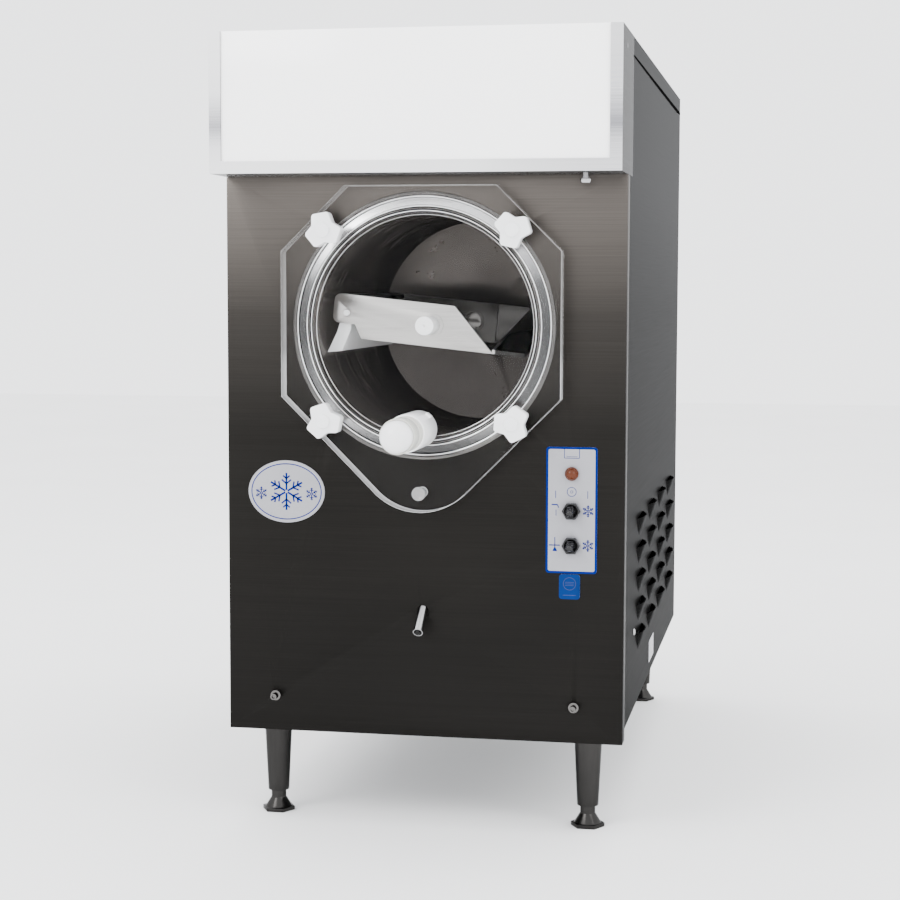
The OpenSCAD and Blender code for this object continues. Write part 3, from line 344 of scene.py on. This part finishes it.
def make_looks():
    """Every finish, by the short name that the pieces ask for."""
    looks = {}
    low, high = PANEL_LOW.z, PANEL_HIGH.z
    # Painted reflection: the front is light at the top and dark towards the bottom, by height.
    looks["front"] = brushed(
        "front_steel", (0.016, 0.015, 0.0138), (0.026, 0.0238, 0.0216), rough=(0.30, 0.42),
        grain=(1.5, 1.5, 260), graze=0.45, share=0.8,
        painted_light=("Z", low, high, [
            (0.0, (0.0085, 0.0082, 0.0078)), (0.42, (0.0125, 0.0118, 0.0108)), (0.66, (0.034, 0.031, 0.0282)),
            (0.86, (0.098, 0.088, 0.0795)), (1.0, (0.118, 0.106, 0.096))]))
    # Painted light and shade: the sides are light at the top and dark towards the bottom, and darker along their
    # front 2 mm, a painted shade at the corner with the front panel.
    looks["side"] = brushed(
        "side_steel", (0.036, 0.036, 0.0358), (0.046, 0.046, 0.0457), rough=(0.36, 0.48),
        grain=(1.5, 1.5, 260), graze=0.20, share=0.75,
        painted_light=("Z", low, high, [
            (0.0, (0.024, 0.024, 0.0238)), (0.5, (0.038, 0.038, 0.0377)), (0.66, (0.050, 0.050, 0.0496)),
            (0.90, (0.108, 0.108, 0.109)), (1.0, (0.112, 0.113, 0.114))]),
        painted_shade=("Y", SIDE_LOW.y, SIDE_LOW.y + 0.0022, [(0.0, grey(0.12)), (1.0, grey(1.0))]))
    # Painted light and shade: a dark band across the lower header, dark cheeks and a darker right end.
    looks["header"] = brushed(
        "header_steel", (0.42, 0.42, 0.425), (0.5, 0.5, 0.505), rough=(0.2, 0.3), grain=(1.2, 1.2, 200),
        graze=0.2, side=grey(0.085), share=0.9,
        painted_light=("Z", HEADER_LOW.z, HEADER_HIGH.z, [
            (0.0, grey(0.90)), (0.08, (0.80, 0.80, 0.81)), (0.25, (0.35, 0.35, 0.37)),
            (0.6, (0.85, 0.85, 0.86)), (1.0, grey(0.95))]),
        painted_shade=("X", HEADER_LOW.x, HEADER_HIGH.x, [
            (0.0, grey(1.0)), (0.7, grey(0.97)), (1.0, (0.70, 0.70, 0.71))]))
    looks["galvanised"] = spangle("galvanised", (0.22, 0.225, 0.23))
    looks["satin"] = brushed("satin_steel", (0.24, 0.235, 0.23), (0.32, 0.315, 0.305), rough=(0.24, 0.34),
                             grain=(3, 60, 160))
    bar_low, bar_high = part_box("dasher_frame")
    # Painted light and shade: the front of the bar is light, the rest inside the barrel dark, and the ramp blade
    # dark past the bar's tip.
    looks["dasher"] = brushed(
        "dasher_steel", (0.30, 0.295, 0.285), (0.36, 0.355, 0.345), rough=(0.24, 0.34), grain=(3, 60, 160),
        graze=0.3, share=0.95,
        painted_light=("Y", bar_low.y, bar_high.y, [
            (0.0, (0.44, 0.43, 0.415)), (0.13, (0.42, 0.41, 0.40)), (0.18, (0.05, 0.048, 0.046)),
            (0.93, (0.04, 0.039, 0.038)), (0.96, (0.045, 0.043, 0.041)), (1.0, (0.045, 0.043, 0.041))]),
        beyond=("X", BAR_TIP - 0.0012, BAR_TIP + 0.0004, (0.030, 0.029, 0.028)))
    # Painted shade: the barrel's inside is darker at its rear and towards the bottom.
    looks["barrel"] = brushed(
        "barrel_steel", (0.075, 0.068, 0.063), (0.11, 0.10, 0.093), rough=(0.20, 0.32), grain=(3, 160, 3),
        graze=0.45, metal=0.75, share=0.85,
        painted_light=("Y", BARREL_LOW.y, BARREL_HIGH.y - 0.03, [
            (0.0, (0.20, 0.184, 0.170)), (0.5, (0.22, 0.200, 0.186)), (0.93, (0.20, 0.182, 0.168)),
            (0.97, (0.105, 0.094, 0.085)), (1.0, (0.108, 0.097, 0.088))]),
        painted_shade=("Z", AXIS_Z - 0.11, AXIS_Z + 0.11, [
            (0.0, (0.75, 0.75, 0.76)), (0.5, (0.85, 0.85, 0.86)), (1.0, grey(1.0))]))
    # Painted highlights and shade: the cone is bright at the top and the bottom, grey at the sides and darker to
    # the right.
    looks["cone"] = brushed(
        "coned_steel", grey(0.10), grey(0.16), rough=(0.16, 0.28), grain=(60, 60, 60), graze=0.4, share=0.95,
        painted_light=("Z", AXIS_Z - CONE_R, AXIS_Z + CONE_R, [
            (0.0, grey(0.05)), (0.05, grey(0.42)), (0.13, grey(0.13)), (0.5, grey(0.11)), (0.74, grey(0.17)),
            (0.87, (0.66, 0.66, 0.67)), (1.0, (0.80, 0.80, 0.81))]),
        painted_shade=("X", -CONE_R, CONE_R, [(0.0, grey(1.0)), (0.6, grey(1.0)), (1.0, grey(0.6))]))
    looks["leg"] = brushed("leg_steel", (0.017, 0.0165, 0.016), (0.040, 0.0385, 0.037), rough=(0.16, 0.28),
                           grain=(40, 40, 4), graze=0.6)
    looks["chrome"] = metal("bright_steel", grey(0.42), 0.12)
    looks["polished"] = metal("polished_ring", grey(0.80), 0.08, mottle=0.1)
    looks["turned"] = metal("turned_ring", (0.13, 0.125, 0.12), 0.16, mottle=0.3)
    looks["copper"] = metal("copper_tube", (0.42, 0.19, 0.10), 0.3)
    looks["alloy"] = metal("mill_aluminium", (0.32, 0.325, 0.33), 0.35)
    # Painted light: the white plastics are given a little glow to look brighter, though they are no lamps.
    looks["white"] = plastic("white_acetal", (0.86, 0.86, 0.87), 0.2, subsurface=0.03, glow=0.12)
    looks["plug"] = plastic("translucent_plug", grey(0.22), 0.2, subsurface=0.05)
    looks["natural"] = plastic("natural_nylon", (0.66, 0.645, 0.59), 0.26, subsurface=0.05)
    # Painted light: the sign's glow brings it up to a clean white.
    looks["sign"] = plastic("opal_acrylic", grey(0.93), 0.16, speck=0.005, grain=40.0, depth=0.00002, glow=0.8)
    looks["foam"] = plastic("foam", (0.72, 0.62, 0.38), 0.8, speck=0.1, grain=300.0, depth=0.0004)
    looks["rubber"] = plastic("black_rubber", (0.008, 0.008, 0.009), 0.45, speck=0.2, specular=0.12)
    # Painted shade: a near-black strip set in the gap under the top cover's flange.
    looks["shade"] = plastic("gap_painted_shade", grey(0.004), 0.9, speck=0.2, specular=0.0)
    looks["boot"] = plastic("switch_boot", (0.006, 0.006, 0.007), 0.10, speck=0.2, specular=0.35)
    looks["black_paint"] = paint("black_enamel", (0.018, 0.018, 0.020))
    looks["grey_paint"] = paint("grey_enamel", (0.12, 0.14, 0.15))
    looks["amber"] = plastic("amber_lens", (0.085, 0.016, 0.001), 0.05, speck=0.15, grain=500.0,
                             specular=0.25)
    looks["film"] = plastic("label_film", (0.27, 0.27, 0.29), 0.35, speck=0.02)
    looks["acrylic"] = acrylic_face("clear_acrylic", 0.03, grey(0.03))
    looks["acrylic_edge"] = acrylic_edge("acrylic_edge")
    looks["blue_ink"] = plastic("blue_ink", (0.001, 0.012, 0.15), 0.6, speck=0.1, specular=0.03)
    looks["blue_film"] = plastic("blue_film", (0.001, 0.022, 0.12), 0.6, speck=0.1, specular=0.05)
    looks["pale_blue"] = plastic("pale_blue", (0.04, 0.05, 0.14), 0.6, speck=0.1, specular=0.05)
    return looks


# ---- Finishes ----

def crease_group(name, degrees):
    """A node group that shades smooth and keeps the edges over a set angle sharp."""
    group = bpy.data.node_groups.new(name, "GeometryNodeTree")
    group.interface.new_socket("Geometry", in_out="INPUT", socket_type="NodeSocketGeometry")
    group.interface.new_socket("Geometry", in_out="OUTPUT", socket_type="NodeSocketGeometry")
    source, sink = group.nodes.new("NodeGroupInput"), group.nodes.new("NodeGroupOutput")
    angle = group.nodes.new("GeometryNodeInputMeshEdgeAngle")
    sharp = group.nodes.new("FunctionNodeCompare")
    sharp.data_type, sharp.operation = "FLOAT", "GREATER_THAN"
    sharp.inputs[1].default_value = math.radians(degrees)
    faces = group.nodes.new("GeometryNodeSetShadeSmooth")
    faces.domain = "FACE"
    edges = group.nodes.new("GeometryNodeSetShadeSmooth")
    edges.domain = "EDGE"
    edges.inputs["Shade Smooth"].default_value = False
    group.links.new(source.outputs[0], faces.inputs["Geometry"])
    group.links.new(faces.outputs[0], edges.inputs["Geometry"])
    group.links.new(angle.outputs["Unsigned Angle"], sharp.inputs[0])
    group.links.new(sharp.outputs[0], edges.inputs["Selection"])
    group.links.new(edges.outputs[0], sink.inputs[0])


def soften(thing, width, segments=2, crease="crease"):
    """Rounds the edges with modifiers, which leave the piece's own mesh as it is."""
    weld = thing.modifiers.new("weld", "WELD")
    weld.merge_threshold = 0.00002
    flatten = thing.modifiers.new("flatten", "DECIMATE")
    flatten.decimate_type = "DISSOLVE"
    flatten.angle_limit = math.radians(0.4)
    if width:
        bevel = thing.modifiers.new("bevel", "BEVEL")
        bevel.width = width
        bevel.segments = segments
        bevel.limit_method = "ANGLE"
        bevel.angle_limit = math.radians(CREASE)
        bevel.use_clamp_overlap = True
    shade = thing.modifiers.new("shade", "NODES")
    shade.node_group = bpy.data.node_groups[crease]


def dress(looks):
    """Gives every carried-over CAD piece its finish and its edge radius."""
    plan = {
        "front": (["front_panel"], 0.0005),
        "side": (["left_side_panel", "right_side_panel", "top_cover", "rear_panel"], 0.0004),
        "header": (["header_housing"], 0.0005),
        "galvanised": (["base_pan", "frame_rails", "drive_bulkhead", "fan_shroud", "electrical_box"], 0.0003),
        "satin": (["mix_hopper", "hopper_lid"], 0.0005),
        "dasher": (["dasher_frame"], 0.0004),
        "barrel": (["freezing_barrel"], 0.0004),
        "leg": (["legs", "front_left_foot", "front_right_foot", "rear_left_foot", "rear_right_foot"], 0.0006),
        "chrome": (["sign_switch_knob", "faceplate_studs", "drip_tube", "valve_spring"], 0.0003),
        "turned": (["tray_studs", "drive_shaft"], 0.0003),
        "copper": (["evaporator_coil", "refrigerant_lines"], 0),
        "alloy": (["condenser", "fan_blade"], 0),
        "white": (["upper_left_knob", "upper_right_knob", "lower_left_knob", "lower_right_knob",
                   "valve_body", "valve_plunger", "dasher_bushing", "scraper_blade"], 0.0008),
        "natural": (["valve_collar"], 0.0008),
        "plug": (["nose_plug"], 0.0006),
        "sign": (["sign_panel", "sign_lamp"], 0.0005),
        "foam": (["barrel_insulation"], 0.002),
        "rubber": (["faceplate_gasket", "shaft_seal", "drive_belt", "cord_gland"], 0.0003),
        "boot": (["upper_toggle", "lower_toggle", "toggle_switches"], 0.0004),
        "black_paint": (["compressor", "drive_motor", "fan_motor"], 0.001),
        "grey_paint": (["gearbox", "gearbox_pulley", "motor_pulley"], 0.002),
        "amber": (["pilot_lamp"], 0.0002),
        "film": (["label_plates", "name_badge"], 0.0001),
    }
    for look, (names, width) in plan.items():
        for name in names:
            node = NODES[name]
            node.data.materials.clear()
            node.data.materials.append(looks[look])
            crease = "sheet_crease" if look in ("side", "header") else "crease"
            soften(node, width, 3 if width > 0.0009 else 2, crease)


# ---- Meshes ----

def new_piece(name, mesh, body, looks, replaced=()):
    piece = bpy.data.objects.new(name, mesh)
    bpy.context.scene.collection.objects.link(piece)
    for look in looks if isinstance(looks, (list, tuple)) else [looks]:
        piece.data.materials.append(look)
    if replaced:
        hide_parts(*replaced)
    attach(piece, body)
    return piece


def finished_mesh(thing):
    """A separate mesh of a piece as its modifiers leave it."""
    bpy.context.view_layer.update()
    graph = bpy.context.evaluated_depsgraph_get()
    return bpy.data.meshes.new_from_object(thing.evaluated_get(graph), depsgraph=graph)


def turned(name, centre, profile, body, look, steps=96):
    """A ring or knob turned about a line along Y: profile holds (radius, depth) points, closed."""
    mesh = bpy.data.meshes.new(name)
    edit = bmesh.new()
    rings = []
    for step in range(steps):
        turn = 2 * math.pi * step / steps
        across, up = math.cos(turn), math.sin(turn)
        rings.append([edit.verts.new((centre[0] + r * across, centre[1] + d, centre[2] + r * up))
                      for r, d in profile])
    for step in range(steps):
        near, far = rings[step], rings[(step + 1) % steps]
        for i in range(len(profile)):
            j = (i + 1) % len(profile)
            edit.faces.new((near[i], near[j], far[j], far[i]))
    bmesh.ops.recalc_face_normals(edit, faces=edit.faces)
    edit.to_mesh(mesh)
    edit.free()
    soften(new_piece(name, mesh, body, look), 0)


def bead(radius, width, height, depth, points=10):
    """A closed half-round profile of a raised ring."""
    turns = [math.pi * i / points for i in range(points + 1)]
    arc = [(radius - width / 2 * math.cos(turn), depth - height * math.sin(turn)) for turn in turns]
    return arc + [(radius + width / 2, depth + height * 0.4), (radius - width / 2, depth + height * 0.4)]


def plate(name, outline, depth, thick, body, look, holes=()):
    """A flat shape facing the front: outline holds (x, z) points in metres."""
    mesh = bpy.data.meshes.new(name)
    edit = bmesh.new()
    loops = [outline, *holes]
    edges = []
    for loop in loops:
        verts = [edit.verts.new((x, depth, z)) for x, z in loop]
        edges += [edit.edges.new((verts[i], verts[(i + 1) % len(verts)])) for i in range(len(verts))]
    bmesh.ops.triangle_fill(edit, use_beauty=True, use_dissolve=False, edges=edges, normal=(0, -1, 0))
    out = bmesh.ops.extrude_face_region(edit, geom=edit.faces[:])
    moved = [v for v in out["geom"] if isinstance(v, bmesh.types.BMVert)]
    bmesh.ops.translate(edit, verts=moved, vec=(0, thick, 0))
    bmesh.ops.recalc_face_normals(edit, faces=edit.faces)
    edit.to_mesh(mesh)
    edit.free()
    new_piece(name, mesh, body, look)


def rounded(low, high, radius, steps=6):
    """A rounded rectangle from its low to its high corner."""
    points = []
    for cx, cz, first in ((high[0] - radius, high[1] - radius, 0), (low[0] + radius, high[1] - radius, 90),
                          (low[0] + radius, low[1] + radius, 180), (high[0] - radius, low[1] + radius, 270)):
        for i in range(steps + 1):
            turn = math.radians(first + 90 * i / steps)
            points.append((cx + radius * math.cos(turn), cz + radius * math.sin(turn)))
    return points


def bar(start, end, width):
    """A thin strip between two points."""
    along = Vector((end[0] - start[0], end[1] - start[1])).normalized()
    side = Vector((-along.y, along.x)) * width / 2
    return [(start[0] + side.x, start[1] + side.y), (start[0] - side.x, start[1] - side.y),
            (end[0] - side.x, end[1] - side.y), (end[0] + side.x, end[1] + side.y)]


def print_marks(name, outlines, depth, look):
    """Several separate printed shapes as one thin piece on the cabinet."""
    mesh = bpy.data.meshes.new(name)
    edit = bmesh.new()
    for outline in outlines:
        verts = [edit.verts.new((x, depth, z)) for x, z in outline]
        face = edit.faces.new(verts)
        face.normal_update()
        if face.normal.y > 0:
            face.normal_flip()
        out = bmesh.ops.extrude_face_region(edit, geom=[face])
        moved = [v for v in out["geom"] if isinstance(v, bmesh.types.BMVert)]
        bmesh.ops.translate(edit, verts=moved, vec=(0, PRINT_T, 0))
    bmesh.ops.recalc_face_normals(edit, faces=edit.faces)
    edit.to_mesh(mesh)
    edit.free()
    new_piece(name, mesh, "cabinet", look)


def ring_marks(centre, radii, width, steps=48):
    """A thin ring or oval line, as short closed strips."""
    strips = []
    for i in range(steps):
        a, b = 2 * math.pi * i / steps, 2 * math.pi * (i + 1.02) / steps
        strips.append([(centre[0] + (radii[0] + e) * math.cos(t), centre[1] + (radii[1] + e) * math.sin(t))
                       for t, e in ((a, width / 2), (b, width / 2), (b, -width / 2), (a, -width / 2))])
    return strips


def snow_star(centre, size, width):
    """A generic six-armed ice crystal."""
    marks = []
    for arm in range(6):
        turn = math.radians(60 * arm + 30)
        out = Vector((math.cos(turn), math.sin(turn)))
        tip = (centre[0] + out.x * size, centre[1] + out.y * size)
        marks.append(bar((centre[0] + out.x * size * 0.08, centre[1] + out.y * size * 0.08), tip, width))
        for share, reach in ((0.42, 0.34), (0.7, 0.24)):
            root = (centre[0] + out.x * size * share, centre[1] + out.y * size * share)
            for lean in (-50, 50):
                way = turn + math.radians(lean)
                end = (root[0] + math.cos(way) * size * reach, root[1] + math.sin(way) * size * reach)
                marks.append(bar(root, end, width * 0.8))
    return marks


# ---- Pieces ----

def make_faceplate():
    """The clear front plate, with its faces clear and its cut edges bright."""
    node = NODES["faceplate"]
    soften(node, 0.0022, 3)
    mesh = finished_mesh(node)
    mesh.materials.clear()
    new_piece("faceplate_clear", mesh, "faceplate", [LOOKS["acrylic"], LOOKS["acrylic_edge"]],
              ["faceplate"])
    for polygon in mesh.polygons:
        middle = polygon.center
        reach = math.hypot(middle.x, middle.z - AXIS_Z)
        flat = abs(polygon.normal.y) > 0.97
        polygon.material_index = 0 if flat or (reach < 0.118 and middle.y > FRONT_Y - 0.003) else 1


def make_window_rings():
    """The rings that show through the plate round the barrel's mouth, from the panel's lip inward."""
    centre = (0.0, FRONT_Y, AXIS_Z)
    cone = [(0.1205, -0.0012), (0.1282, 0.0013), (0.1282, 0.0016), (0.1205, 0.0016)]
    turned("mouth_edge", centre, bead(0.1290, 0.0018, 0.0008, -0.0002), "cabinet",
           LOOKS["polished"], RING_STEPS)
    turned("mouth_cone", centre, cone, "cabinet", LOOKS["cone"], RING_STEPS)
    turned("outer_land", centre, bead(0.1193, 0.0022, 0.0010, -0.0001), "cabinet",
           LOOKS["polished"], RING_STEPS)
    turned("panel_lip", centre, bead(0.1322, 0.0036, 0.0006, -0.0001), "cabinet",
           LOOKS["turned"], RING_STEPS)
    turned("plate_seal", centre, bead(0.1170, 0.0012, 0.0005, -0.0015), "faceplate",
           LOOKS["turned"], RING_STEPS)
    turned("plug_land", centre, bead(0.1146, 0.0013, 0.0006, -0.0015), "faceplate",
           LOOKS["polished"], RING_STEPS)
    turned("plug_seal", centre, bead(0.1128, 0.0007, 0.0004, -0.0015), "faceplate",
           LOOKS["turned"], RING_STEPS)
    turned("plug_edge", centre, bead(0.1110, 0.0010, 0.0008, 0.0052), "faceplate",
           LOOKS["polished"], RING_STEPS)


def make_label():
    """The control label's blue rule and plain pictures: cup, lamp ring, ice crystals, tap and arrow."""
    lamp_low, lamp_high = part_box("pilot_lamp")
    x, lamp_z = (lamp_low.x + lamp_high.x) / 2, (lamp_low.z + lamp_high.z) / 2
    upper, lower = [(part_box(name)[0].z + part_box(name)[1].z) / 2 for name in ("upper_toggle", "lower_toggle")]
    middle = upper + 0.0005
    half_w, half_h = 0.0255, 0.063
    rule = 0.0021
    outer = rounded((x - half_w, middle - half_h), (x + half_w, middle + half_h), 0.003)
    inner = rounded((x - half_w + rule, middle - half_h + rule), (x + half_w - rule, middle + half_h - rule),
                    0.002)
    plate("label_rule", outer, LABEL_FACE, PRINT_T, "cabinet", LOOKS["blue_ink"], holes=[inner])
    thin = 0.0006
    marks = []
    cup = lamp_z + 0.0175
    for side in (-1, 1):
        marks.append(bar((x + side * 0.0075, cup + 0.0075), (x + side * 0.0075, cup - 0.002), thin))
        marks.append(bar((x + side * 0.016, middle + 0.0195), (x + side * 0.016, middle + 0.012), thin))
    marks.append(bar((x - 0.0075, cup - 0.002), (x + 0.0075, cup - 0.002), thin))
    marks.append(bar((x - 0.0055, cup - 0.0005), (x + 0.0055, cup - 0.0005), thin * 0.7))
    marks += ring_marks((x, middle + 0.0185), (0.0045, 0.0045), thin)
    marks += ring_marks((x, middle + 0.0185), (0.0012, 0.0012), thin * 0.7, 24)
    marks += snow_star((x + 0.0165, upper), 0.0060, 0.0009)
    marks += snow_star((x + 0.0165, lower), 0.0060, 0.0009)
    tap = x - 0.0165
    marks.append(bar((tap - 0.0035, upper + 0.006), (tap + 0.0025, upper + 0.006), 0.0012))
    marks.append(bar((tap + 0.0025, upper + 0.006), (tap + 0.0035, upper + 0.003), 0.0009))
    marks.append(bar((tap + 0.001, upper + 0.001), (tap + 0.001, upper - 0.005), thin))
    marks.append(bar((tap - 0.006, lower), (tap + 0.005, lower), 0.0010))
    marks.append(bar((tap, lower + 0.008), (tap, lower - 0.002), 0.0008))
    marks.append([(tap - 0.0025, lower - 0.006), (tap + 0.0025, lower - 0.006), (tap, lower - 0.001)])
    print_marks("label_pictures", marks, LABEL_FACE, LOOKS["blue_ink"])


def make_tag():
    """A blue film over the small tag, with a plain ringed picture."""
    plate("tag_film", rounded(TAG_LOW, TAG_HIGH, 0.003), LABEL_FACE, PRINT_T, "cabinet",
          LOOKS["blue_film"])
    x, z = (TAG_LOW[0] + TAG_HIGH[0]) / 2, (TAG_LOW[1] + TAG_HIGH[1]) / 2
    marks = ring_marks((x, z + 0.003), (0.0062, 0.0062), 0.0006)
    for i in range(3):
        line = z + 0.0045 - i * 0.0016
        marks.append(bar((x - 0.0045, line), (x + 0.0045, line), 0.0005))
    marks.append(bar((x - 0.0065, z - 0.0085), (x + 0.0065, z - 0.0085), 0.0006))
    print_marks("tag_pictures", marks, LABEL_FACE - PRINT_T, LOOKS["pale_blue"])


def make_badge():
    """The oval badge: a blue oval line round a plain ice crystal."""
    low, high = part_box("name_badge")
    centre = ((low.x + high.x) / 2, (low.z + high.z) / 2)
    half = ((high.x - low.x) / 2, (high.z - low.z) / 2)
    depth = low.y - PRINT_T
    marks = ring_marks(centre, (half[0] - 0.0035, half[1] - 0.0035), 0.0010, 72)
    marks += snow_star(centre, 0.019, 0.0019)
    for side in (-1, 1):
        marks += snow_star((centre[0] + side * 0.0265, centre[1] - 0.002), 0.0065, 0.0009)
    print_marks("badge_print", marks, depth, LOOKS["blue_ink"])


def make_side_trim():
    """The screws beside the louvres and a dark strip of painted shade in the gap under the top cover's flange,
    on both sides.
    """
    flange = SIDE_HIGH.z
    front, back = HEADER_HIGH.y + 0.001, SIDE_HIGH.y - 0.001
    half = PANEL_HIGH.x
    for side, word in ((1, "right"), (-1, "left")):
        mesh = bpy.data.meshes.new("side_screw")
        edit = bmesh.new()
        place = Matrix.Translation((side * (half + 0.0003), FRONT_Y + 0.110, 0.191))
        bmesh.ops.create_uvsphere(edit, u_segments=24, v_segments=12, radius=0.0036,
                                  matrix=place @ Matrix.Scale(0.5, 4, (1, 0, 0)))
        edit.to_mesh(mesh)
        edit.free()
        soften(new_piece("side_screw_" + word, mesh, "cabinet", LOOKS["chrome"]), 0)
        # Painted shade: a near-black strip in the gap under the top cover's flange.
        mesh = bpy.data.meshes.new("flange_painted_shade")
        edit = bmesh.new()
        inner, outer = side * (half - 0.0004), side * (half + 0.0004)
        outline = [(front, flange + 0.0014), (back, flange + 0.0014), (back, flange - 0.0012),
                   (back - 0.05, flange - 0.0030), (front + 0.30, flange - 0.0022), (front, flange - 0.0002)]
        near = [edit.verts.new((inner, y, z)) for y, z in outline]
        far = [edit.verts.new((outer, y, z)) for y, z in outline]
        edit.faces.new(near)
        edit.faces.new(far[::-1])
        for i in range(len(outline)):
            j = (i + 1) % len(outline)
            edit.faces.new((near[i], far[i], far[j], near[j]))
        bmesh.ops.recalc_face_normals(edit, faces=edit.faces)
        edit.to_mesh(mesh)
        edit.free()
        new_piece("flange_painted_shade_" + word, mesh, "cabinet", LOOKS["shade"])


def make_floor():
    """A plain pale floor, which is not part of the machine."""
    bpy.ops.mesh.primitive_plane_add(size=14.0, location=(0, 0, 0))
    floor = bpy.context.object
    floor.name = "floor"
    look = Look("pale_floor")
    look.colour(look.ramp(look.noise(2.0), [(0.3, (0.90, 0.90, 0.90)), (0.7, (0.93, 0.93, 0.93))]))
    look.put(rough=0.9)
    floor.data.materials.append(look.material)


make_camera()
make_world()
make_lights()
make_floor()
crease_group("crease", CREASE)
crease_group("sheet_crease", SHEET_CREASE)
LOOKS = make_looks()
dress(LOOKS)
make_faceplate()
make_window_rings()
make_label()
make_tag()
make_badge()
make_side_trim()
